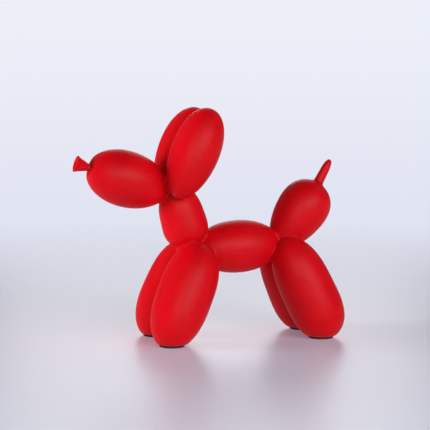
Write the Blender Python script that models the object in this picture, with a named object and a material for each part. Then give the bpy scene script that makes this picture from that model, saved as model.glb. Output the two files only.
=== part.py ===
"""Balloon dog ornament: a cast figure of a dog twisted from one long balloon, on four thin foot pads.

The dog faces -X, its left side is at +Y and +Z is up. The origin is on the floor, under the middle
of the whole ornament. Units are metres.
"""
import math
from dataclasses import dataclass

import bmesh
import bpy
import numpy as np

# Overall sizes of the finished ornament
LENGTH = 0.210  # from the rim of the nozzle to the back of the hind legs
WIDTH = 0.090  # across the front legs
HEIGHT = 0.180  # from the floor to the tops of the ears, with the pads

# Foot pads
PAD_THICKNESS = 0.0012
PAD_INSET = 0.0015  # how far a pad's edge stays inside the edge of the foot's flat
PAD_GAP = 0.0003  # glue line between a pad and its foot

# Fineness of the faceted surfaces
SIDES = 26  # facets round a balloon
RINGS = 15  # bands of facets from one end of a balloon to the other
SHARP_EDGE = math.radians(35)  # facets that meet at more than this aren't shaded as one surface

# The figure is drawn in shares of its own height, and then fitted to the overall sizes
DRAWN_HEIGHT = 180


@dataclass
class Balloon:
    """One balloon of the figure, drawn on a dog that is DRAWN_HEIGHT units high.

    middle   place of its middle: along the dog, out to its left, and up from the floor
    tilt     degrees that its axis rises from the +X direction
    length   from end to end
    depth    widest size seen from the side
    breadth  widest size seen from the front, the same as the depth if it isn't given
    taper    how much fatter the end is that the axis points to, as a share; below 0 it is thinner
    fullness 2 for an ellipse, more for blunter ends
    start    the fullness of the end that the axis points away from, if the two ends differ
    lean     degrees that the end the axis points to leans in towards the dog's middle plane
    """

    middle: tuple
    tilt: float
    length: float
    depth: float
    breadth: float = None
    taper: float = 0.0
    fullness: float = 2.0
    start: float = None
    lean: float = 0.0


# The pose and the proportions of the figure
MUZZLE = Balloon((-62.5, 0, 125.5), tilt=162.5, length=66, depth=43, taper=0.06)
NECK = Balloon((-20, 0, 97.5), tilt=106.5, length=49, depth=34.5, taper=-0.1, fullness=2.4, start=4)
BODY = Balloon((25.5, 0, 71.5), tilt=2.5, length=68.5, depth=41, taper=0.02, fullness=1.95, start=2.3)
RUMP = Balloon((75, 0, 94.5), tilt=53.5, length=61, depth=39.5, taper=0.23, fullness=2.25)
TAIL = Balloon((95.3, 0, 126), tilt=61, length=28, depth=7.4, taper=-0.1, fullness=3)
EAR = Balloon((-15, 18, 145.5), tilt=67, length=73, depth=37, taper=0.08, fullness=2.05, lean=2)
FRONT_LEG = Balloon(
    (-23.6, 19.5, 37), tilt=66, length=86, depth=42.5, breadth=45.5,
    taper=0.02, fullness=2.8, start=2.6, lean=10,
)
HIND_LEG = Balloon(
    (76.5, 18, 38.5), tilt=114.5, length=86.5, depth=42, taper=-0.05, fullness=2.8, start=3.2, lean=7
)

# Webs of the casting that fill the narrow gaps where the head's balloons and the chest's balloons meet
HEAD_WEB = Balloon((-27, 0, 121), tilt=55, length=18, depth=36, breadth=30)
CHEST_WEB = Balloon((-13, 0, 71), tilt=0, length=22, depth=20, breadth=28)

# The nozzle, in the same shares: the balloon's open end, flared like a trumpet past the muzzle's tip
NOZZLE_LENGTH = 9.6  # from the muzzle's tip to the end face
NOZZLE_ROOT = 6.0  # how far it starts inside the muzzle
NOZZLE_NECK_RADIUS = 2.6
NOZZLE_RIM_RADIUS = 6.4
NOZZLE_LIP = 0.8  # radius of the rounded rim
NOZZLE_FLARE = 1.2  # 1 for a straight cone, more for a later flare
NOZZLE_BANDS = 6  # facet bands along the flare
LIP_BANDS = 3  # facet bands round the rim

LEFT = 1
RIGHT = -1

CASTING_RED = (0.58, 0.006, 0.014, 1.0)
PAD_BLACK = (0.016, 0.015, 0.017, 1.0)


def clear_scene():
    for obj in list(bpy.data.objects):
        bpy.data.objects.remove(obj, do_unlink=True)


def material(name, colour, roughness, metallic=0.0):
    made = bpy.data.materials.new(name)
    made.use_nodes = True
    shader = made.node_tree.nodes["Principled BSDF"]
    shader.inputs["Base Color"].default_value = colour
    shader.inputs["Roughness"].default_value = roughness
    shader.inputs["Metallic"].default_value = metallic
    made.diffuse_color = colour
    return made


def axis_frame(tilt, lean=0.0, side=LEFT):
    """Three unit vectors: along an axis, across it in the side view, and across it in the front view."""
    rise = math.radians(tilt)
    inwards = -side * math.radians(lean)
    along = np.array([math.cos(rise), math.tan(inwards), math.sin(rise)]) * math.cos(inwards)
    sideways = np.array([0.0, 1.0, 0.0])
    out = sideways - along * (along @ sideways)
    out /= np.linalg.norm(out)
    return along, np.cross(out, along), out


def turned_surface(middle, frame, stations, radii, flatness=1.0):
    """A closed surface turned about an axis: its start point, one ring for each radius, its end point.

    stations gives the place along the axis of the start, of each ring and of the end.
    """
    along, across, out = frame
    turn = np.linspace(0, 2 * math.pi, SIDES, endpoint=False)
    rim = np.cos(turn)[:, None] * across + flatness * np.sin(turn)[:, None] * out
    rings = middle + stations[1:-1, None, None] * along + radii[:, None, None] * rim
    ends = middle + stations[[0, -1], None] * along
    return np.concatenate([ends[:1], rings.reshape(-1, 3), ends[1:]])


def balloon(shape, side=LEFT):
    """An egg of revolution.

    With t from -1 to 1 along the axis, the radius is depth / 2 * sqrt(1 - |t| ** fullness), times
    1 + taper * t - taper ** 2 / 4.
    """
    t = -np.cos(np.linspace(0, math.pi, RINGS + 1))
    inner = t[1:-1]
    fullness = np.where(inner < 0, shape.start or shape.fullness, shape.fullness)
    radii = shape.depth / 2 * np.sqrt(1 - np.abs(inner) ** fullness)
    radii = radii * (1 + shape.taper * inner - shape.taper**2 / 4)
    flatness = (shape.breadth or shape.depth) / shape.depth
    x, y, z = shape.middle
    frame = axis_frame(shape.tilt, shape.lean, side)
    return turned_surface(np.array([x, side * y, z]), frame, t * shape.length / 2, radii, flatness)


def nozzle():
    """The flared end: a trumpet from inside the muzzle to its rim, a rounded lip and a low dome."""
    frame = axis_frame(MUZZLE.tilt)
    x, y, z = MUZZLE.middle
    tip = np.array([x, y, z]) + frame[0] * MUZZLE.length / 2
    flare = np.linspace(0, 1, NOZZLE_BANDS)
    lip = np.linspace(0, math.pi / 2, LIP_BANDS + 1)[1:]
    rim_start = NOZZLE_LENGTH - 2 * NOZZLE_LIP
    stations = [-NOZZLE_ROOT, -NOZZLE_ROOT, *(flare * rim_start)]
    widening = (NOZZLE_RIM_RADIUS - NOZZLE_NECK_RADIUS) * flare**NOZZLE_FLARE
    radii = [NOZZLE_NECK_RADIUS, *(NOZZLE_NECK_RADIUS + widening)]
    stations += list(rim_start + NOZZLE_LIP * np.sin(lip))
    radii += list(NOZZLE_RIM_RADIUS - NOZZLE_LIP * (1 - np.cos(lip)))
    stations.append(NOZZLE_LENGTH)
    return turned_surface(tip, frame, np.array(stations), np.array(radii))


def figure():
    """Every balloon and web of the figure as drawn, by name."""
    parts = {
        "body": balloon(BODY),
        "neck": balloon(NECK),
        "rump": balloon(RUMP),
        "muzzle": balloon(MUZZLE),
        "nozzle": nozzle(),
        "tail": balloon(TAIL),
        "head_web": balloon(HEAD_WEB),
        "chest_web": balloon(CHEST_WEB),
    }
    for word, side in (("left", LEFT), ("right", RIGHT)):
        parts[f"ear_{word}"] = balloon(EAR, side)
        parts[f"front_leg_{word}"] = balloon(FRONT_LEG, side)
        parts[f"hind_leg_{word}"] = balloon(HIND_LEG, side)
    return parts


def fit_to_size(parts):
    """Bring the drawn figure to its real size: over the pads, centred, as long, wide and high as stated."""
    drawn = np.concatenate(list(parts.values()))
    low, high = drawn.min(axis=0), drawn.max(axis=0)
    floor = foot_level() * DRAWN_HEIGHT / HEIGHT
    low[2] = floor
    scale = np.array([LENGTH, WIDTH, HEIGHT - foot_level()]) / (high - low)
    anchor = np.array([(low[0] + high[0]) / 2, 0.0, floor])
    rest = np.array([0.0, 0.0, foot_level()])
    return {name: (points - anchor) * scale + rest for name, points in parts.items()}


def foot_level():
    """Height of the flats under the feet."""
    return PAD_THICKNESS + PAD_GAP


def turned_faces(count):
    """Faces of a turned surface with that many points: two fans and the bands between them."""
    rings = (count - 2) // SIDES
    start, end = 0, count - 1
    faces = []
    for i in range(SIDES):
        j = (i + 1) % SIDES
        faces.append((start, 1 + i, 1 + j))
        for ring in range(rings - 1):
            near, far = 1 + ring * SIDES, 1 + (ring + 1) * SIDES
            faces.append((near + i, far + i, far + j, near + j))
        last = 1 + (rings - 1) * SIDES
        faces.append((last + i, end, last + j))
    return faces


def add_object(name, points, faces, finish):
    mesh = bpy.data.meshes.new(name)
    mesh.from_pydata([tuple(point) for point in points], [], faces)
    work = bmesh.new()
    work.from_mesh(mesh)
    bmesh.ops.recalc_face_normals(work, faces=work.faces)
    work.to_mesh(mesh)
    work.free()
    mesh.shade_smooth()
    mesh.set_sharp_from_angle(angle=SHARP_EDGE)
    mesh.materials.append(finish)
    obj = bpy.data.objects.new(name, mesh)
    bpy.context.scene.collection.objects.link(obj)
    return obj


def hide_as_cutter(obj):
    obj.hide_render = True
    obj.display_type = "WIRE"


def join(target, tool, operation):
    step = target.modifiers.new(tool.name, "BOOLEAN")
    step.operation = operation
    step.solver = "EXACT"
    step.object = tool


def floor_block(finish):
    """A block well wider than the dog, from the flats of the feet down past everything below them."""
    plan = [(-LENGTH, -WIDTH), (LENGTH, -WIDTH), (LENGTH, WIDTH), (-LENGTH, WIDTH)]
    corners = [(x, y, z) for z in (-HEIGHT, foot_level()) for x, y in plan]
    faces = [(0, 3, 2, 1), (4, 5, 6, 7)]
    faces += [(i, (i + 1) % 4, 4 + (i + 1) % 4, 4 + i) for i in range(4)]
    return add_object("floor_block", corners, faces, finish)


def casting(parts, finish):
    """The whole dog as one solid, with its feet cut flat."""
    dog = add_object("balloon_dog", parts["body"], turned_faces(len(parts["body"])), finish)
    for name, points in parts.items():
        if name == "body":
            continue
        tool = add_object(f"joined_{name}", points, turned_faces(len(points)), finish)
        hide_as_cutter(tool)
        join(dog, tool, "UNION")
    block = floor_block(finish)
    hide_as_cutter(block)
    join(dog, block, "DIFFERENCE")
    return dog


def foot_outline(leg):
    """Where the leg's surface crosses the level of the feet, one point for each side facet line."""
    rings = leg[1:-1].reshape(-1, SIDES, 3)
    lines = np.concatenate([np.broadcast_to(leg[0], (1, SIDES, 3)), rings])
    below = lines[:, :, 2] < foot_level()
    last = below.sum(axis=0) - 1
    side = np.arange(SIDES)
    lower, upper = lines[last, side], lines[last + 1, side]
    share = (foot_level() - lower[:, 2]) / (upper[:, 2] - lower[:, 2])
    return (lower + share[:, None] * (upper - lower))[:, :2]


def foot_pad(name, leg, finish):
    """A thin pad under one foot, the shape of the foot's flat and a little smaller all round."""
    outline = foot_outline(leg)
    centre = (outline.min(axis=0) + outline.max(axis=0)) / 2
    reach = outline - centre
    size = np.linalg.norm(reach, axis=1, keepdims=True)
    edge = centre + reach * (1 - PAD_INSET / size)
    count = len(edge)
    points = [(x, y, z) for z in (0.0, PAD_THICKNESS) for x, y in edge]
    faces = [tuple(range(count)), tuple(range(count, 2 * count))]
    faces += [(i, (i + 1) % count, count + (i + 1) % count, count + i) for i in range(count)]
    return add_object(name, points, faces, finish)


def build():
    clear_scene()
    red = material("casting_red", CASTING_RED, roughness=0.55)
    black = material("pad_black", PAD_BLACK, roughness=0.85)
    parts = fit_to_size(figure())
    casting(parts, red)
    for place in ("front", "hind"):
        for word in ("left", "right"):
            foot_pad(f"foot_pad_{place}_{word}", parts[f"{place}_leg_{word}"], black)


build()
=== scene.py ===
"""Looks of the balloon dog ornament: a soft-touch red casting on four foam rubber foot pads.

The casting is one closed skin. It starts as egg-shaped balloons, takes an even net of small faces, and
is then laid onto a rounded form in which the balloons run into each other along narrow creases.
"""
import math
from dataclasses import dataclass

import bmesh
import bpy
import numpy as np
from bpy.props import FloatProperty, FloatVectorProperty, IntProperty, PointerProperty
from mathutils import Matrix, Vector


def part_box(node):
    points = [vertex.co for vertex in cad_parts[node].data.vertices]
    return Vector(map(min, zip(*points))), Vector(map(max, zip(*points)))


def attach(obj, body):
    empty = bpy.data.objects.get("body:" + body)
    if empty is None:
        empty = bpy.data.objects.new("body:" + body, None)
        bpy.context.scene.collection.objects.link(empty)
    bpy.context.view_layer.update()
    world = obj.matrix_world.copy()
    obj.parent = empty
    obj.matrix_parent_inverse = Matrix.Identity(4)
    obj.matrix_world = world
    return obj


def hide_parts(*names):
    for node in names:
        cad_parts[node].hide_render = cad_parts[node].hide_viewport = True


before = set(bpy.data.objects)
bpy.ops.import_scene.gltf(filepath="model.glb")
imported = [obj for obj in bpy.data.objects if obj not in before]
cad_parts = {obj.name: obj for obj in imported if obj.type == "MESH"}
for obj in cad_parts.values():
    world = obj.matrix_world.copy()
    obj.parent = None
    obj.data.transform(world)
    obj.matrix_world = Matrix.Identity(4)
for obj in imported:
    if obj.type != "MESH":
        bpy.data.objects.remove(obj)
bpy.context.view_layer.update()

bl_info = {
    "name": "Balloon dog ornament",
    "version": (1, 0, 0),
    "blender": (4, 5, 0),
    "location": "3D View > Sidebar > Ornament",
    "description": "Builds the balloon dog's casting, its foot pads and a plain studio round them",
    "category": "Add Mesh",
}

CASTING_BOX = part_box("balloon_dog")
PAD_NODES = sorted(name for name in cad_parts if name.startswith("foot_pad_"))

LEFT = 1
RIGHT = -1


@dataclass
class Balloon:
    """One balloon of the figure, in units of which the dog is 180 high.

    middle   place of its middle: along the dog, out to its left, and up from the floor
    tilt     degrees that its axis rises from the +X direction
    length   from end to end
    depth    widest size seen from the side
    breadth  widest size seen from the front, the same as the depth if it isn't given
    taper    how much fatter the end is that the axis points to, as a share; below 0 it is thinner
    fullness 2 for an ellipse, more for blunter ends
    start    the fullness of the end that the axis points away from, if the two ends differ
    lean     degrees that the end the axis points to leans in towards the dog's middle plane
    """

    middle: tuple
    tilt: float
    length: float
    depth: float
    breadth: float = None
    taper: float = 0.0
    fullness: float = 2.0
    start: float = None
    lean: float = 0.0


# The pose and the proportions of the figure, on a floor at the level of the feet
FOOT_LEVEL = 1.5
MUZZLE = Balloon((-62.5, 0, 125.5), tilt=162.5, length=66, depth=43, taper=0.06)
NECK = Balloon((-20, 0, 97.5), tilt=106.5, length=49, depth=34.5, taper=-0.1, fullness=2.4, start=4)
BODY = Balloon((25.5, 0, 71.5), tilt=2.5, length=68.5, depth=41, taper=0.02, fullness=1.95, start=2.3)
RUMP = Balloon((75, 0, 94.5), tilt=53.5, length=61, depth=39.5, taper=0.23, fullness=2.25)
TAIL = Balloon((95.3, 0, 126), tilt=61, length=28, depth=7.2, taper=-0.12, fullness=4)
EAR = Balloon((-15, 18, 145.5), tilt=67, length=73, depth=37, taper=0.08, fullness=2.05, lean=2)
FRONT_LEG = Balloon(
    (-23.6, 19.5, 37), tilt=66, length=86, depth=42.5, breadth=45.5,
    taper=0.02, fullness=2.8, start=2.6, lean=10,
)
HIND_LEG = Balloon(
    (76.5, 18, 38.5), tilt=114.5, length=86.5, depth=42, taper=-0.05, fullness=2.8, start=3.2, lean=7
)

# Webs of the casting that fill the narrow gaps where the head's balloons and the chest's balloons meet
HEAD_WEB = Balloon((-27, 0, 121), tilt=55, length=18, depth=36, breadth=30)
CHEST_WEB = Balloon((-13, 0, 71), tilt=0, length=22, depth=20, breadth=28)

MIDDLE_BALLOONS = (BODY, NECK, RUMP, MUZZLE, HEAD_WEB, CHEST_WEB)
PAIRED_BALLOONS = (EAR, FRONT_LEG, HIND_LEG)

# The nozzle, in the same units: the balloon's open end, flared like a trumpet past the muzzle's tip
NOZZLE_LENGTH = 9.6
NOZZLE_ROOT = 6.0
NOZZLE_NECK_RADIUS = 3.0
NOZZLE_RIM_RADIUS = 6.7
NOZZLE_FLARE = 1.0
NOZZLE_DISH_SHARE = 0.62
PLEAT_EASE = 0.8

# How the muzzle is drawn in at its tip, in the same units, and how many wrinkles the tail has
TIP_BLEND = 4.0
WRINKLE_BAND = 2.0
WRINKLE_TURN = 0.7
TAIL_WRINKLES = 7

# How the skin is laid onto the form: the taper stops a little past a balloon's ends, and no point moves far
# in a round
TAPER_END = 1.3
LEAST_SLOPE = 1.0e-4
PROBE = 0.02
LONGEST_MOVE = 0.6
LEAST_STEEPNESS = 1.0e-6
LEAST_MOVE = 1.0e-9
EVENING = 0.5
LAST_ROUNDS = 3

# Where the skin takes smaller faces: near creases, and twice round the nozzle
CREASE_FINE = 0.4
NOZZLE_FINE = 11.0
NOZZLE_FINEST = 8.5

# The pads' nets: points round a pad, rows in each rounded edge, and how wide the rings in its flats are
PAD_COLUMNS = 96
PAD_EDGE_ROWS = 6
PAD_FLATS = np.linspace(0.12, 0.9, 8)

# Patterns of the finishes, in repeats a metre
DRIFT = 38.0
CLOUDS = 160.0
MOTTLE = 620.0
GRAIN = 1500.0
SPECKS = 260.0
RUBBER_PITS = 1400.0
RUBBER_DUST = 220.0
FLOOR_BLOTCHES = 9.0

# The studio, in metres: the dog faces -X, and the camera looks from -Y
FLOOR_CORNERS = 128
FLOOR_FADE = (0.05, 0.62)
PANEL_SIZE = 1.0
LIT_POINT = (0, 0, 0.09)
KEY_PLACE = (-2.5, 0.45, 0.3)
HIGH_PLACE = (-2.4, 0.9, 1.2)
FILL_PLACE = (0.2, -2.55, 0.95)
RIGHT_PLACE = (1.2, -2.2, 0.9)
BACK_PLACE = (0.6, 2.0, 0.9)
SHINE_PLACE = (-1.3, -2.4, 0.9)
VIEW_DEPTH = 20.0

# The camera's sensor, in millimetres
SENSOR_WIDTH = 36.0

# Bands of the surroundings, from and to how steeply a line of sight rises
HORIZON = (-0.02, 0.01)
BACKDROP_BLEND = (-0.13, 0.05)
HIGH_WALL_START = (0.3, 0.5)
HIGH_WALL_END = (0.7, 0.85)


def axis_frame(tilt, lean=0.0, side=LEFT):
    """Three unit vectors: along an axis, across it in the side view, and across it in the front view."""
    rise = math.radians(tilt)
    inwards = -side * math.radians(lean)
    along = np.array([math.cos(rise), math.tan(inwards), math.sin(rise)]) * math.cos(inwards)
    sideways = np.array([0.0, 1.0, 0.0])
    out = sideways - along * (along @ sideways)
    out /= np.linalg.norm(out)
    return along, np.cross(out, along), out


def turned_grid(middle, axes, stations, radii, flatness, columns):
    """A closed surface turned about an axis: two end points, and between them a ring for each radius."""
    along, across, out = axes
    turn = np.linspace(0, 2 * math.pi, columns, endpoint=False)
    rim = np.cos(turn)[:, None] * across + flatness * np.sin(turn)[:, None] * out
    rings = middle + stations[1:-1, None, None] * along + radii[:, None, None] * rim
    ends = middle + stations[[0, -1], None] * along
    return np.concatenate([ends[:1], rings.reshape(-1, 3), ends[1:]])


def turned_faces(count, columns):
    """Faces of a turned surface with that many points: a fan, the bands, and a fan, as rows of corners."""
    rows = (count - 2) // columns
    here = np.arange(columns)
    after = (here + 1) % columns
    first = 1 + np.arange(rows - 1)[:, None] * columns
    second = first + columns
    bands = np.stack([first + here, second + here, second + after, first + after], axis=-1)
    last = 1 + (rows - 1) * columns
    start_fan = np.stack([np.zeros_like(here), 1 + here, 1 + after], axis=-1)
    end_fan = np.stack([last + here, np.full_like(here, count - 1), last + after], axis=-1)
    return bands.reshape(-1, 4), np.concatenate([start_fan, end_fan])


def fullness_at(shape, t):
    """The fullness of the end in which t lies."""
    return np.where(t < 0, shape.start or shape.fullness, shape.fullness)


def egg_radii(shape, t):
    """depth / 2 * sqrt(1 - |t| ** fullness) * (1 + taper * t - taper ** 2 / 4), for t from -1 to 1."""
    round_part = np.sqrt(np.clip(1 - np.abs(t) ** fullness_at(shape, t), 0, None))
    return shape.depth / 2 * round_part * (1 + shape.taper * t - shape.taper**2 / 4)


def egg_points(shape, side, rows=24, columns=48):
    """The balloon as a closed grid, from the end its axis points away from to the other."""
    t = -np.cos(np.linspace(0, math.pi, rows + 1))
    flatness = (shape.breadth or shape.depth) / shape.depth
    x, y, z = shape.middle
    axes = axis_frame(shape.tilt, shape.lean, side)
    radii = egg_radii(shape, t[1:-1])
    return turned_grid(np.array([x, side * y, z]), axes, t * shape.length / 2, radii, flatness, columns)


def nozzle_end(columns=48):
    """Points round the nozzle's rim."""
    along, across, out = axis_frame(MUZZLE.tilt)
    middle = np.array(MUZZLE.middle) + along * (MUZZLE.length / 2 + NOZZLE_LENGTH)
    turn = np.linspace(0, 2 * math.pi, columns, endpoint=False)[:, None]
    return middle + NOZZLE_RIM_RADIUS * (np.cos(turn) * across + np.sin(turn) * out)


def soft_least(first, second, width):
    """The smaller of two depths, rounded off where they are nearly the same: a crease of that width."""
    return -width * np.logaddexp(-first / width, -second / width)


def soft_most(first, second, width):
    """The larger of two depths, rounded off where they are nearly the same: an edge of that width."""
    return width * np.logaddexp(first / width, second / width)


def about_axis(shape, side, points):
    """Places along, across and out from a balloon's axis, the last as if it were as broad as deep."""
    along, across, out = axis_frame(shape.tilt, shape.lean, side)
    x, y, z = shape.middle
    reach = points - np.array([x, side * y, z])
    flatness = (shape.breadth or shape.depth) / shape.depth
    return reach @ along, reach @ across, reach @ out / flatness, flatness


def outside_egg(shape, side, points):
    """How far points lie outside a balloon, below 0 inside it.

    With f = |t| ** fullness + (radius / egg radius) ** 2 - 1, the distance is f over the length of f's
    gradient, which is right near the surface. Past the ends the taper stops, so that f stays sound.
    """
    s, u, w, flatness = about_axis(shape, side, points)
    half = shape.length / 2
    t = s / half
    fullness = fullness_at(shape, t)
    tapered = np.clip(t, -TAPER_END, TAPER_END)
    fatness = 1 + shape.taper * tapered - shape.taper**2 / 4
    wide = (shape.depth / 2 * fatness) ** 2
    round_share = (u**2 + w**2) / wide
    value = np.abs(t) ** fullness + round_share - 1
    rise = fullness * np.sign(t) * np.abs(t) ** (fullness - 1)
    rise = (rise - 2 * round_share * shape.taper / fatness * (tapered == t)) / half
    slope = np.sqrt(rise**2 + (2 * u / wide) ** 2 + (2 * w / wide / flatness) ** 2)
    return value / np.maximum(slope, LEAST_SLOPE)


def outside_muzzle(form, points):
    """The muzzle's egg, pulled in round the nozzle: a dimple with fine wrinkles that run to the nozzle."""
    s, u, w, _ = about_axis(MUZZLE, LEFT, points)
    radius = np.hypot(u, w)
    turn = np.arctan2(w, u)
    at_tip = 1 / (1 + np.exp(-s / TIP_BLEND))
    dimple = form.dimple_depth * np.exp(-((radius / form.dimple_radius) ** 2))
    band = np.exp(-(((radius - form.dimple_radius) / WRINKLE_BAND) ** 2))
    wrinkles = form.wrinkle_depth * band * np.cos(form.pleats * turn + WRINKLE_TURN)
    return outside_egg(MUZZLE, LEFT, points) + at_tip * (dimple + wrinkles)


def outside_nozzle(form, points):
    """A pleated trumpet with a rolled rim and a shallow dish in its end.

    The radius grows from neck to rim with share ** flare, plus pleats of depth share * (1 - ease *
    share), plus a bead, which is a bell curve near the rim. The end is flat, less a dish of bell shape.
    """
    s, u, w, _ = about_axis(MUZZLE, LEFT, points)
    s = s - MUZZLE.length / 2
    radius = np.hypot(u, w)
    turn = np.arctan2(w, u)
    share = np.clip(s / NOZZLE_LENGTH, 0, 1)
    pleats = form.pleat_depth * share * (1 - PLEAT_EASE * share) * np.cos(form.pleats * turn)
    bead_place = (s - (NOZZLE_LENGTH - form.rim_bead)) / form.rim_bead
    bead = form.bead_height * np.exp(-(bead_place**2))
    growth = (NOZZLE_RIM_RADIUS - NOZZLE_NECK_RADIUS - form.bead_height) * share**NOZZLE_FLARE
    wall = NOZZLE_NECK_RADIUS + growth + pleats + bead
    slope = (NOZZLE_RIM_RADIUS - NOZZLE_NECK_RADIUS) / NOZZLE_LENGTH * NOZZLE_FLARE * share
    beside = (radius - wall) / np.sqrt(1 + slope**2)
    dish = form.dish_depth * np.exp(-((radius / (NOZZLE_DISH_SHARE * NOZZLE_RIM_RADIUS)) ** 4))
    past_end = s - NOZZLE_LENGTH + dish
    behind_root = -NOZZLE_ROOT - s
    return np.maximum(soft_most(beside, past_end, form.rim_round), behind_root)


def outside_tail(form, points):
    """The tail's egg with faint wrinkles along it."""
    _, u, w, _ = about_axis(TAIL, LEFT, points)
    wrinkles = form.tail_wrinkle * np.cos(TAIL_WRINKLES * np.arctan2(w, u))
    return outside_egg(TAIL, LEFT, points) + wrinkles


def balloon_depths(form, points):
    """How far points lie outside each balloon: a row for each, the tail's and the nozzle's last."""
    depths = [outside_egg(shape, LEFT, points) for shape in MIDDLE_BALLOONS if shape is not MUZZLE]
    depths.append(outside_muzzle(form, points))
    for shape in PAIRED_BALLOONS:
        depths += [outside_egg(shape, side, points) for side in (LEFT, RIGHT)]
    return [*depths, outside_tail(form, points), outside_nozzle(form, points)]


def outside_figure(form, points):
    """How far points lie outside the whole figure, with its creases, roots and feet rounded off."""
    *depths, tail, nozzle = balloon_depths(form, points)
    total = depths[0]
    for depth in depths[1:]:
        total = soft_least(total, depth, form.crease_width)
    total = soft_least(total, tail, form.root_width)
    total = soft_least(total, nozzle, form.nozzle_root_width)
    return soft_most(total, FOOT_LEVEL - points[:, 2], form.foot_round)


def crease_nearness(form, points):
    """1 on a crease between two balloons, falling off with the distance from it."""
    nearest = np.sort(np.stack(balloon_depths(form, points)), axis=0)
    return np.exp(-(nearest[1] - nearest[0]) / form.crease_reach)


def surface_step(form, points):
    """Moves points along the form's gradient onto its surface; also gives the unit gradient.

    The gradient is the sum of value * corner / (4 * probe) over four corners of a small cube, and the
    move is value * gradient / |gradient| ** 2, kept short.
    """
    corners = np.array([[1, 1, 1], [1, -1, -1], [-1, 1, -1], [-1, -1, 1]], float)
    values = [outside_figure(form, points + PROBE * corner) for corner in corners]
    gradient = sum(value[:, None] * corner for value, corner in zip(values, corners)) / (4 * PROBE)
    size = np.sum(gradient**2, axis=1, keepdims=True)
    here = sum(values)[:, None] / 4
    move = here * gradient / np.maximum(size, LEAST_STEEPNESS)
    reach = np.linalg.norm(move, axis=1, keepdims=True)
    short = move * np.minimum(1, LONGEST_MOVE / np.maximum(reach, LEAST_MOVE))
    return points - short, gradient / np.sqrt(size)


def even_out(points, edges, normals, share):
    """Moves each point towards the mean of its neighbours, but only along the surface."""
    count = np.bincount(edges.ravel(), minlength=len(points))
    total = np.empty_like(points)
    for axis in range(3):
        ends = np.concatenate([points[edges[:, 1], axis], points[edges[:, 0], axis]])
        starts = np.concatenate([edges[:, 0], edges[:, 1]])
        total[:, axis] = np.bincount(starts, weights=ends, minlength=len(points))
    move = total / count[:, None] - points
    move -= normals * np.sum(move * normals, axis=1, keepdims=True)
    return points + share * move


def read_points(mesh):
    """The mesh's points, a row for each."""
    points = np.empty(len(mesh.vertices) * 3, np.float32)
    mesh.vertices.foreach_get("co", points)
    return points.reshape(-1, 3).astype(float)


def read_edges(mesh):
    """The mesh's edges, a row of two point numbers for each."""
    edges = np.empty(len(mesh.edges) * 2, np.int32)
    mesh.edges.foreach_get("vertices", edges)
    return edges.reshape(-1, 2)


def new_object(name, points, faces):
    """An object with that mesh, at the origin."""
    mesh = bpy.data.meshes.new(name)
    mesh.from_pydata(points, [], faces)
    obj = bpy.data.objects.new(name, mesh)
    bpy.context.scene.collection.objects.link(obj)
    return obj


def grid_net(values, low, pitch):
    """A closed net of squares round the grid points whose value is below 0.

    Each cell that the surface passes through gives a point, at the mean of the places where the surface
    crosses the cell's edges. Each grid edge that it crosses gives a face between the four cells round it.
    """
    steps = np.eye(3, dtype=int)
    strides = np.array([values.shape[1] * values.shape[2], values.shape[2], 1])
    rings, places = [], []
    for axis in range(3):
        along, across, over = steps[axis], steps[(axis + 1) % 3], steps[(axis + 2) % 3]
        here = np.moveaxis(np.moveaxis(values, axis, 0)[:-1], 0, axis)
        there = np.moveaxis(np.moveaxis(values, axis, 0)[1:], 0, axis)
        edges = np.argwhere((here < 0) != (there < 0))
        first, second = here[tuple(edges.T)], there[tuple(edges.T)]
        ring = np.stack([edges, edges - across, edges - across - over, edges - over], axis=1) @ strides
        outwards_back = first > 0
        ring[outwards_back] = ring[outwards_back, ::-1]
        rings.append(ring)
        places.append(edges + (first / (first - second))[:, None] * along)
    rings, places = np.concatenate(rings), np.repeat(np.concatenate(places), 4, axis=0)
    cells, faces = np.unique(rings, return_inverse=True)
    faces = faces.reshape(rings.shape)
    count = np.bincount(faces.ravel())
    sums = [np.bincount(faces.ravel(), weights=places[:, axis]) for axis in range(3)]
    points = np.stack([total / count for total in sums], axis=-1)
    return low + points * pitch, faces.tolist()


def rough_figure(form):
    """The figure's net on a grid of the form's pitch."""
    shapes = (*MIDDLE_BALLOONS, *PAIRED_BALLOONS)
    shells = [egg_points(shape, side) for shape in shapes for side in (LEFT, RIGHT)]
    reach = np.concatenate([*shells, egg_points(TAIL, LEFT), nozzle_end()])
    margin = 3 * form.pitch
    low, high = reach.min(axis=0) - margin, reach.max(axis=0) + margin
    places = [np.arange(*ends, form.pitch) for ends in zip(low, high)]
    grid = np.stack(np.meshgrid(*places, indexing="ij"), axis=-1)
    values = outside_figure(form, grid.reshape(-1, 3)).reshape(grid.shape[:3])
    return grid_net(values, low, form.pitch)


def skin_labels(edges, count):
    """A number for each point that is the same for all points that edges join."""
    labels = np.arange(count)
    while True:
        least = labels.copy()
        np.minimum.at(least, edges[:, 0], labels[edges[:, 1]])
        np.minimum.at(least, edges[:, 1], labels[edges[:, 0]])
        least = least[least]
        if np.array_equal(least, labels):
            return labels
        labels = least


def outer_skin(mesh):
    """The mesh's skin that reaches highest, without the closed pockets between balloons."""
    points = read_points(mesh)
    labels = skin_labels(read_edges(mesh), len(points))
    corners = np.empty(len(mesh.loops), np.int32)
    mesh.loops.foreach_get("vertex_index", corners)
    faces = corners.reshape(-1, 4)
    outer = labels == labels[np.argmax(points[:, 2])]
    renumbered = np.cumsum(outer) - 1
    kept = bpy.data.meshes.new("skin")
    kept.from_pydata(points[outer], [], renumbered[faces[outer[faces[:, 0]]]].tolist())
    return kept


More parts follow.
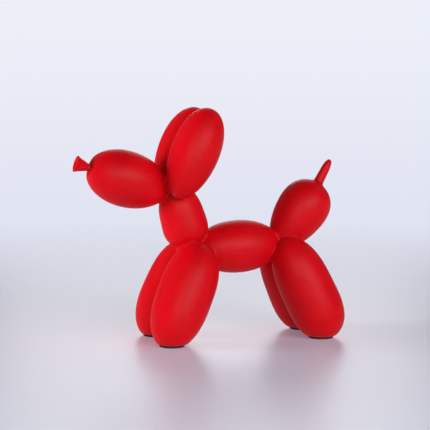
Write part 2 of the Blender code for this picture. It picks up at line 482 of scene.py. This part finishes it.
def even_skin(name, points, faces, pitch):
    """One closed skin round shells that pass through each other, in even faces of about that size."""
    rough = new_object(name, points, faces)
    remesh = rough.modifiers.new("even skin", "REMESH")
    remesh.mode = "VOXEL"
    remesh.voxel_size = pitch
    solid = rough.evaluated_get(bpy.context.evaluated_depsgraph_get())
    mesh = bpy.data.meshes.new_from_object(solid)
    bpy.data.objects.remove(rough)
    return outer_skin(mesh)


def refine(mesh, chosen):
    """Splits every edge whose two ends are chosen, so that the faces there are half as large."""
    work = bmesh.new()
    work.from_mesh(mesh)
    work.verts.ensure_lookup_table()
    edges = [e for e in work.edges if chosen[e.verts[0].index] and chosen[e.verts[1].index]]
    bmesh.ops.subdivide_edges(work, edges=edges, cuts=1, use_grid_fill=True)
    many = [f for f in work.faces if len(f.verts) > 4]
    bmesh.ops.triangulate(work, faces=many)
    work.to_mesh(mesh)
    work.free()


def settle(form, mesh, rounds):
    """Lays the mesh onto the figure's surface and evens it out, a round at a time."""
    points, edges = read_points(mesh), read_edges(mesh)
    for _ in range(rounds):
        points, normals = surface_step(form, points)
        points = even_out(points, edges, normals, EVENING)
    for _ in range(LAST_ROUNDS):
        points, normals = surface_step(form, points)
    mesh.vertices.foreach_set("co", points.astype(np.float32).ravel())
    mesh.update()
    return points


def near_nozzle(points, reach):
    """Which points lie within that reach of the nozzle's middle."""
    along = axis_frame(MUZZLE.tilt)[0]
    middle = np.array(MUZZLE.middle) + along * (MUZZLE.length + NOZZLE_LENGTH) / 2
    return np.linalg.norm(points - middle, axis=1) < reach


def fit_to_box(points, box):
    """Moves and stretches the drawn figure into its box."""
    low, high = points.min(axis=0), points.max(axis=0)
    box_low, box_high = np.array(box[0]), np.array(box[1])
    return (points - low) / (high - low) * (box_high - box_low) + box_low


def add_attribute(mesh, name, values):
    """Gives each point of the mesh a value that a material can read."""
    layer = mesh.attributes.new(name, "FLOAT", "POINT")
    layer.data.foreach_set("value", values.astype(np.float32))


class Socket:
    """A shader socket that adds Math nodes when it is used in an expression."""

    def __init__(self, tree, source):
        self.tree = tree
        self.source = source

    def _math(self, operation, *values):
        return self.tree.node("ShaderNodeMath", {"operation": operation}, dict(enumerate(values)))[0]

    def __add__(self, other):
        return self._math("ADD", self, other)

    def __radd__(self, other):
        return self._math("ADD", other, self)

    def __sub__(self, other):
        return self._math("SUBTRACT", self, other)

    def __rsub__(self, other):
        return self._math("SUBTRACT", other, self)

    def __mul__(self, other):
        return self._math("MULTIPLY", self, other)

    def __rmul__(self, other):
        return self._math("MULTIPLY", other, self)

    def __truediv__(self, other):
        return self._math("DIVIDE", self, other)

    def smooth(self, low, high):
        """0 below low, 1 above high, with a smooth step between."""
        made = self.tree.node(
            "ShaderNodeMapRange",
            {"interpolation_type": "SMOOTHSTEP"},
            {"Value": self, "From Min": low, "From Max": high, "To Min": 0.0, "To Max": 1.0},
        )
        return made[0]


class Tree:
    """The nodes of one material or world."""

    def __init__(self, node_tree):
        self.tree = node_tree
        self.tree.nodes.clear()

    def node(self, kind, settings=None, inputs=None):
        """Adds a node, sets it up, fills or links its inputs, and gives its outputs as sockets."""
        made = self.tree.nodes.new(kind)
        for key, value in (settings or {}).items():
            setattr(made, key, value)
        for key, value in (inputs or {}).items():
            if isinstance(value, Socket):
                self.tree.links.new(value.source, made.inputs[key])
            else:
                made.inputs[key].default_value = value
        return [Socket(self, out) for out in made.outputs if out.enabled]

    def mix_colours(self, share, first, second):
        """A colour between two colours."""
        return self.node("ShaderNodeMix", {"data_type": "RGBA"}, {0: share, 6: first, 7: second})[0]

    def noise(self, place, scale, detail=2.0, roughness=0.5):
        """Soft noise from 0 to 1, with that many repeats a metre."""
        inputs = {"Vector": place, "Scale": scale, "Detail": detail, "Roughness": roughness}
        return self.node("ShaderNodeTexNoise", {}, inputs)[0]


def new_material(name):
    """A material and its empty tree of nodes."""
    made = bpy.data.materials.new(name)
    made.use_nodes = True
    return made, Tree(made.node_tree)


def shown_by(tree, surface):
    """Makes that shader the material's surface."""
    tree.node("ShaderNodeOutputMaterial", {}, {"Surface": surface})


def opaque(colour):
    """The colour with a full alpha, as the nodes' sockets take it."""
    return (*colour, 1.0)


def soft_touch_red(finish):
    """Matte red soft-touch paint on a casting.

    The red drifts a little from place to place, is darkened in the creases by painted shade, has a fine
    sprayed grain and a few pale specks of dust; the paint is a little smoother in some patches than in
    others.
    """
    material, tree = new_material("soft_touch_red")
    place = tree.node("ShaderNodeTexCoord")[3]
    crease = tree.node("ShaderNodeAttribute", {"attribute_name": "crease"})[2]
    drift = tree.noise(place, DRIFT, 3.0)
    cloud = tree.noise(place, CLOUDS, 4.0, 0.6)
    mottle = tree.noise(place, MOTTLE, 3.0, 0.65)
    grain = tree.noise(place, GRAIN, 2.0, 0.6)
    shade = (drift * 0.35 + cloud * 0.25 + mottle * 0.4).smooth(0.34, 0.66)
    red = tree.mix_colours(shade, opaque(finish.red_deep), opaque(finish.red_bright))
    # Painted shade: near the creases between balloons the red is darkened towards the crease red, where
    # shade falls
    red = tree.mix_colours(crease.smooth(0.25, 1.0) * 0.35, red, opaque(finish.red_crease_shade))
    speck_cells = tree.node("ShaderNodeTexVoronoi", {}, {"Vector": place, "Scale": SPECKS})
    chosen = tree.node("ShaderNodeSeparateColor", {}, {"Color": speck_cells[1]})[0]
    specks = (1 - speck_cells[0].smooth(0.05, 0.09)) * chosen.smooth(0.985, 0.99)
    red = tree.mix_colours(specks * 0.35, red, opaque(finish.dust))
    rough = finish.paint_roughness + (cloud - 0.5) * 0.08 + (mottle - 0.5) * 0.12 + specks * 0.1
    height = grain + mottle * 0.6 + cloud * 0.4
    relief = {"Strength": 1.0, "Distance": finish.grain_depth, "Height": height}
    bump = tree.node("ShaderNodeBump", {}, relief)[0]
    inputs = {
        "Base Color": red,
        "Roughness": rough,
        "Normal": bump,
        "Specular IOR Level": finish.paint_gloss,
        "Sheen Weight": finish.sheen,
        "Sheen Roughness": 0.35,
        "Sheen Tint": opaque(finish.sheen_tint),
    }
    shown_by(tree, tree.node("ShaderNodeBsdfPrincipled", {}, inputs)[0])
    return material


def foam_rubber(finish):
    """Black closed-cell foam rubber: near black, with small pits and a little grey dust on its skin."""
    material, tree = new_material("foam_rubber")
    place = tree.node("ShaderNodeTexCoord")[3]
    pits = tree.node("ShaderNodeTexVoronoi", {}, {"Vector": place, "Scale": RUBBER_PITS})[0]
    patches = tree.noise(place, RUBBER_DUST, 3.0)
    clean, dusty = opaque(finish.rubber), opaque(finish.rubber_dusty)
    colour = tree.mix_colours(patches.smooth(0.35, 0.75), clean, dusty)
    relief = {"Strength": 0.8, "Distance": finish.pit_depth, "Height": pits}
    bump = tree.node("ShaderNodeBump", {}, relief)[0]
    rough = 0.78 + patches * 0.14
    inputs = {"Base Color": colour, "Roughness": rough, "Normal": bump}
    shown_by(tree, tree.node("ShaderNodeBsdfPrincipled", {}, inputs)[0])
    return material


def pad_surface(low, high, radius):
    """An oval pad with rounded upper and lower edges, filled to its middle above and below.

    The plan is an ellipse inside the pad's box. The edge's profile is a quarter circle at the bottom, a
    straight wall and a quarter circle at the top.
    """
    centre, half = (low + high) / 2, (high - low) / 2
    bottom, top = low[2], high[2]
    turn = np.linspace(0, 2 * math.pi, PAD_COLUMNS, endpoint=False)
    plan = np.stack([np.cos(turn), np.sin(turn)], axis=-1)

    def ring(share, inset, level):
        """The plan at that level, drawn in by the inset and then shrunk to that share."""
        outline = centre[:2] + plan * ((half[:2] - inset) * share)
        return np.column_stack([outline, np.full(PAD_COLUMNS, level)])

    quarter = np.linspace(0, math.pi / 2, PAD_EDGE_ROWS)
    before, after = radius * (1 - np.sin(quarter)), radius * (1 - np.cos(quarter))
    insets = np.concatenate([before, after])
    levels = np.concatenate([bottom + after, top - before])
    rings = [ring(share, radius, bottom) for share in PAD_FLATS]
    rings += [ring(1.0, inset, level) for inset, level in zip(insets, levels)]
    rings += [ring(share, radius, top) for share in PAD_FLATS[::-1]]
    poles = np.array([[*centre[:2], bottom], [*centre[:2], top]])
    return np.concatenate([poles[:1], *rings, poles[1:]])


class CastingForm(bpy.types.PropertyGroup):
    """Shape of the casting, in units of which the dog is 180 high, and the edge of the pads in metres."""

    pitch: FloatProperty(name="Net", description="Size of the skin's faces", default=1.3, min=0.8, max=4)
    crease_width: FloatProperty(
        name="Crease", description="Rounding of the creases between balloons", default=0.7, min=0.1, max=4
    )
    # The crease reach is how far the painted shade in the creases spreads; it also sets where the skin
    # takes smaller faces
    crease_reach: FloatProperty(
        name="Crease reach", description="How far beside a crease the paint is deeper", default=2.2, min=0.2
    )
    root_width: FloatProperty(name="Tail root", description="Rounding where the tail starts", default=0.9)
    nozzle_root_width: FloatProperty(
        name="Nozzle root", description="Rounding where the nozzle starts", default=0.5
    )
    foot_round: FloatProperty(name="Foot edge", description="Rounding round the feet's flats", default=0.45)
    dimple_depth: FloatProperty(name="Dimple depth", description="Dimple round the nozzle", default=3.3)
    dimple_radius: FloatProperty(name="Dimple radius", description="Dimple round the nozzle", default=5.2)
    wrinkle_depth: FloatProperty(name="Wrinkles", description="Wrinkles beside the nozzle", default=0.3)
    pleats: IntProperty(name="Pleats", description="Pleats round the nozzle", default=9, min=3, max=24)
    pleat_depth: FloatProperty(name="Pleat depth", description="Depth of the pleats", default=0.55)
    rim_bead: FloatProperty(name="Rim bead", description="Half width of the rolled rim", default=0.9)
    bead_height: FloatProperty(name="Bead height", description="Height of the rolled rim", default=0.45)
    rim_round: FloatProperty(name="Rim edge", description="Rounding of the rim", default=0.45)
    dish_depth: FloatProperty(name="Dish", description="Depth of the dish in the nozzle's end", default=1.6)
    tail_wrinkle: FloatProperty(name="Tail wrinkles", description="Depth of its wrinkles", default=0.07)
    pad_edge: FloatProperty(
        name="Pad edge", description="Rounding of a pad's edges", default=0.0004, unit="LENGTH", precision=5
    )


def colour_property(name, description, default):
    """A colour that a user can set."""
    return FloatVectorProperty(
        name=name, description=description, default=default, subtype="COLOR", size=3, min=0, max=1
    )


class Finish(bpy.types.PropertyGroup):
    """Colours and finishes."""

    red_bright: colour_property("Red", "Paint where it is brightest", (0.84, 0.0018, 0.0085))
    red_deep: colour_property("Deep red", "Paint where it is deepest", (0.70, 0.0010, 0.0062))
    # The crease red is painted shade, laid into the creases between balloons
    red_crease_shade: colour_property("Crease red", "Paint in the creases", (0.36, 0.0008, 0.003))
    dust: colour_property("Dust", "Specks of dust", (0.75, 0.35, 0.32))
    sheen_tint: colour_property("Sheen", "Soft bloom at a glancing view", (1.0, 0.55, 0.5))
    rubber: colour_property("Rubber", "Foam rubber", (0.012, 0.011, 0.012))
    rubber_dusty: colour_property("Dusty rubber", "Foam rubber with dust", (0.03, 0.028, 0.029))
    paint_roughness: FloatProperty(name="Roughness", description="Roughness of the paint", default=0.45)
    paint_gloss: FloatProperty(name="Gloss", description="Strength of its reflections", default=0.14)
    sheen: FloatProperty(name="Sheen", description="Strength of the bloom", default=0.03)
    grain_depth: FloatProperty(
        name="Grain", description="Depth of the sprayed grain", default=0.00005, unit="LENGTH", precision=6
    )
    pit_depth: FloatProperty(
        name="Pits", description="Depth of the rubber's pits", default=0.0001, unit="LENGTH", precision=5
    )


class Studio(bpy.types.PropertyGroup):
    """Camera, floor and lights."""

    azimuth: FloatProperty(
        name="Azimuth", description="Turn to the dog's front", default=math.radians(16.8), subtype="ANGLE"
    )
    elevation: FloatProperty(
        name="Elevation", description="Height as an angle", default=math.radians(5.38), subtype="ANGLE"
    )
    distance: FloatProperty(name="Distance", description="Camera to target", default=1.128, unit="LENGTH")
    lens: FloatProperty(name="Lens", description="Focal length in millimetres", default=121.65)
    target: FloatVectorProperty(
        name="Target", description="Where the camera looks", default=(0.0065, 0.0, 0.0965), subtype="XYZ"
    )
    floor_radius: FloatProperty(name="Floor", description="Radius of the floor", default=1.6, unit="LENGTH")
    floor_colour: colour_property("Floor", "Colour of the floor", (0.64, 0.615, 0.69))
    floor_glow: colour_property("Floor's light", "Light that the floor gives", (0.13, 0.14, 0.18))
    backdrop: colour_property("Backdrop", "Backdrop at the top of the view", (0.84, 0.86, 0.94))
    backdrop_low: colour_property("Low backdrop", "Backdrop beyond the floor", (0.74, 0.76, 0.87))
    far_floor: colour_property("Far floor", "Light from beyond the floor", (0.50, 0.50, 0.55))
    mirrored: FloatProperty(name="Mirrored", description="Share of the backdrop mirrored", default=0.12)
    wall: colour_property("Wall", "Light from the walls", (0.01, 0.01, 0.01))
    high_wall: colour_property("High wall", "Light from the walls' upper part", (0.22, 0.22, 0.24))
    key_power: FloatProperty(name="Key", description="Watts before the dog's nose", default=45.0)
    high_power: FloatProperty(name="High", description="Watts above the key light", default=9.0)
    fill_power: FloatProperty(name="Fill", description="Watts over the camera", default=24.0)
    right_power: FloatProperty(name="Right", description="Watts right of the camera", default=18.0)
    back_power: FloatProperty(name="Back", description="Watts behind the dog", default=8.0)
    shine_power: FloatProperty(name="Shine", description="Watts that are only mirrored", default=20.0)


def soft_light(name, power, place, lights=True, mirrored=True):
    """A square panel that faces the dog, and lights it, or is mirrored in it, or both."""
    data = bpy.data.lights.new(name, "AREA")
    data.shape = "SQUARE"
    data.size = PANEL_SIZE
    data.energy = power
    lamp = bpy.data.objects.new(name, data)
    lamp.location = place
    lamp.rotation_euler = (Vector(LIT_POINT) - Vector(place)).to_track_quat("-Z", "Y").to_euler()
    lamp.visible_diffuse = lights
    lamp.visible_glossy = mirrored
    bpy.context.scene.collection.objects.link(lamp)


def floor_material(studio):
    """Pale satin board that glows a little and fades out towards its edge."""
    material, tree = new_material("pale_board")
    place = tree.node("ShaderNodeTexCoord")[3]
    distance = tree.node("ShaderNodeVectorMath", {"operation": "LENGTH"}, {0: place})[0]
    fade = 1 - (distance / studio.floor_radius).smooth(*FLOOR_FADE)
    blotch = tree.noise(place, FLOOR_BLOTCHES)
    low = [0.985 * c for c in studio.floor_colour]
    colour = tree.mix_colours(blotch, opaque(low), opaque(studio.floor_colour))
    glow = {"Emission Color": opaque(studio.floor_glow), "Emission Strength": 1.0}
    inputs = {"Base Color": colour, "Roughness": 0.36 + blotch * 0.02, "Alpha": fade, **glow}
    shown_by(tree, tree.node("ShaderNodeBsdfPrincipled", {}, inputs)[0])
    return material


def set_world(studio):
    """What surrounds the floor: for the eye a pale backdrop, and for the dog the light of dark walls.

    The walls are lighter in a band high up, and below the horizon they are as light as a floor.
    """
    world = bpy.data.worlds.new("studio")
    world.use_nodes = True
    tree = Tree(world.node_tree)
    rise = tree.node("ShaderNodeSeparateXYZ", {}, {0: tree.node("ShaderNodeTexCoord")[0]})[2]
    high = rise.smooth(*HIGH_WALL_START) * (1 - rise.smooth(*HIGH_WALL_END))
    walls = tree.mix_colours(high, opaque(studio.wall), opaque(studio.high_wall))
    walls = tree.mix_colours(rise.smooth(*HORIZON), opaque(studio.far_floor), walls)
    low_colour, high_colour = opaque(studio.backdrop_low), opaque(studio.backdrop)
    backdrop = tree.mix_colours(rise.smooth(*BACKDROP_BLEND), low_colour, high_colour)
    rays = tree.node("ShaderNodeLightPath")
    seen = rays[0] + rays[3] * studio.mirrored
    colour = tree.mix_colours(seen, walls, backdrop)
    background = tree.node("ShaderNodeBackground", {}, {"Color": colour, "Strength": 1.0})[0]
    tree.node("ShaderNodeOutputWorld", {}, {"Surface": background})
    bpy.context.scene.world = world


def set_camera(studio):
    """A camera at that distance from its target, turned and raised from the dog's side."""
    data = bpy.data.cameras.new("camera")
    data.lens = studio.lens
    data.sensor_width = SENSOR_WIDTH
    data.clip_end = VIEW_DEPTH
    camera = bpy.data.objects.new("camera", data)
    azimuth, level = studio.azimuth, math.cos(studio.elevation)
    back = Vector((-math.sin(azimuth) * level, -math.cos(azimuth) * level, math.sin(studio.elevation)))
    camera.location = Vector(studio.target) + back * studio.distance
    camera.rotation_euler = (-back).to_track_quat("-Z", "Y").to_euler()
    bpy.context.scene.collection.objects.link(camera)
    bpy.context.scene.camera = camera


class ORNAMENT_OT_casting(bpy.types.Operator):
    """Builds the whole dog as one closed casting and paints it"""

    bl_idname = "ornament.casting"
    bl_label = "Casting"

    def execute(self, context):
        form = context.scene.ornament_form
        points, faces = rough_figure(form)
        mesh = even_skin("casting", points, faces, form.pitch)
        points = settle(form, mesh, rounds=5)
        refine(mesh, (crease_nearness(form, points) > CREASE_FINE) | near_nozzle(points, NOZZLE_FINE))
        points = settle(form, mesh, rounds=4)
        refine(mesh, near_nozzle(points, NOZZLE_FINEST))
        points = settle(form, mesh, rounds=4)
        # The nearness to the creases, which the paint reads to lay its painted shade in the creases
        add_attribute(mesh, "crease", crease_nearness(form, points))
        mesh.vertices.foreach_set("co", fit_to_box(points, CASTING_BOX).astype(np.float32).ravel())
        mesh.shade_smooth()
        mesh.materials.clear()
        mesh.materials.append(soft_touch_red(context.scene.ornament_finish))
        dog = bpy.data.objects.new("dog_casting", mesh)
        context.scene.collection.objects.link(dog)
        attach(dog, "root")
        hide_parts("balloon_dog")
        return {"FINISHED"}


class ORNAMENT_OT_foot_pads(bpy.types.Operator):
    """Builds the four foot pads"""

    bl_idname = "ornament.foot_pads"
    bl_label = "Foot pads"

    def execute(self, context):
        form = context.scene.ornament_form
        rubber = foam_rubber(context.scene.ornament_finish)
        for node in PAD_NODES:
            low, high = (np.array(corner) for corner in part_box(node))
            points = pad_surface(low, high, form.pad_edge)
            bands, fans = turned_faces(len(points), PAD_COLUMNS)
            pad = new_object("rubber_" + node, points, bands.tolist() + fans.tolist())
            pad.data.shade_smooth()
            pad.data.materials.append(rubber)
            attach(pad, "root")
            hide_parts(node)
        return {"FINISHED"}


class ORNAMENT_OT_stage(bpy.types.Operator):
    """Sets up the floor, the lights and the camera"""

    bl_idname = "ornament.stage"
    bl_label = "Stage"

    def execute(self, context):
        studio = context.scene.ornament_studio
        turn = np.linspace(0, 2 * math.pi, FLOOR_CORNERS, endpoint=False)
        rim = np.column_stack([np.cos(turn), np.sin(turn), np.zeros_like(turn)]) * studio.floor_radius
        floor = new_object("floor", rim, [tuple(range(FLOOR_CORNERS))])
        floor.data.materials.append(floor_material(studio))
        set_world(studio)
        soft_light("key", studio.key_power, KEY_PLACE, mirrored=False)
        soft_light("high", studio.high_power, HIGH_PLACE, mirrored=False)
        soft_light("fill", studio.fill_power, FILL_PLACE)
        soft_light("right", studio.right_power, RIGHT_PLACE)
        soft_light("back", studio.back_power, BACK_PLACE)
        soft_light("shine", studio.shine_power, SHINE_PLACE, lights=False)
        set_camera(studio)
        context.scene.view_settings.view_transform = "Standard"
        context.scene.view_settings.look = "None"
        return {"FINISHED"}


class ORNAMENT_PT_panel(bpy.types.Panel):
    """Lists what can be built"""

    bl_label = "Balloon dog ornament"
    bl_idname = "ORNAMENT_PT_panel"
    bl_space_type = "VIEW_3D"
    bl_region_type = "UI"
    bl_category = "Ornament"

    def draw(self, context):
        for operator in OPERATORS:
            self.layout.operator(operator.bl_idname)


OPERATORS = (ORNAMENT_OT_casting, ORNAMENT_OT_foot_pads, ORNAMENT_OT_stage)
CLASSES = (CastingForm, Finish, Studio, *OPERATORS, ORNAMENT_PT_panel)


def register():
    for cls in CLASSES:
        bpy.utils.register_class(cls)
    bpy.types.Scene.ornament_form = PointerProperty(type=CastingForm)
    bpy.types.Scene.ornament_finish = PointerProperty(type=Finish)
    bpy.types.Scene.ornament_studio = PointerProperty(type=Studio)


def unregister():
    del bpy.types.Scene.ornament_studio
    del bpy.types.Scene.ornament_finish
    del bpy.types.Scene.ornament_form
    for cls in reversed(CLASSES):
        bpy.utils.unregister_class(cls)


def main():
    register()
    bpy.ops.ornament.casting()
    bpy.ops.ornament.foot_pads()
    bpy.ops.ornament.stage()


if __name__ == "__main__":
    main()
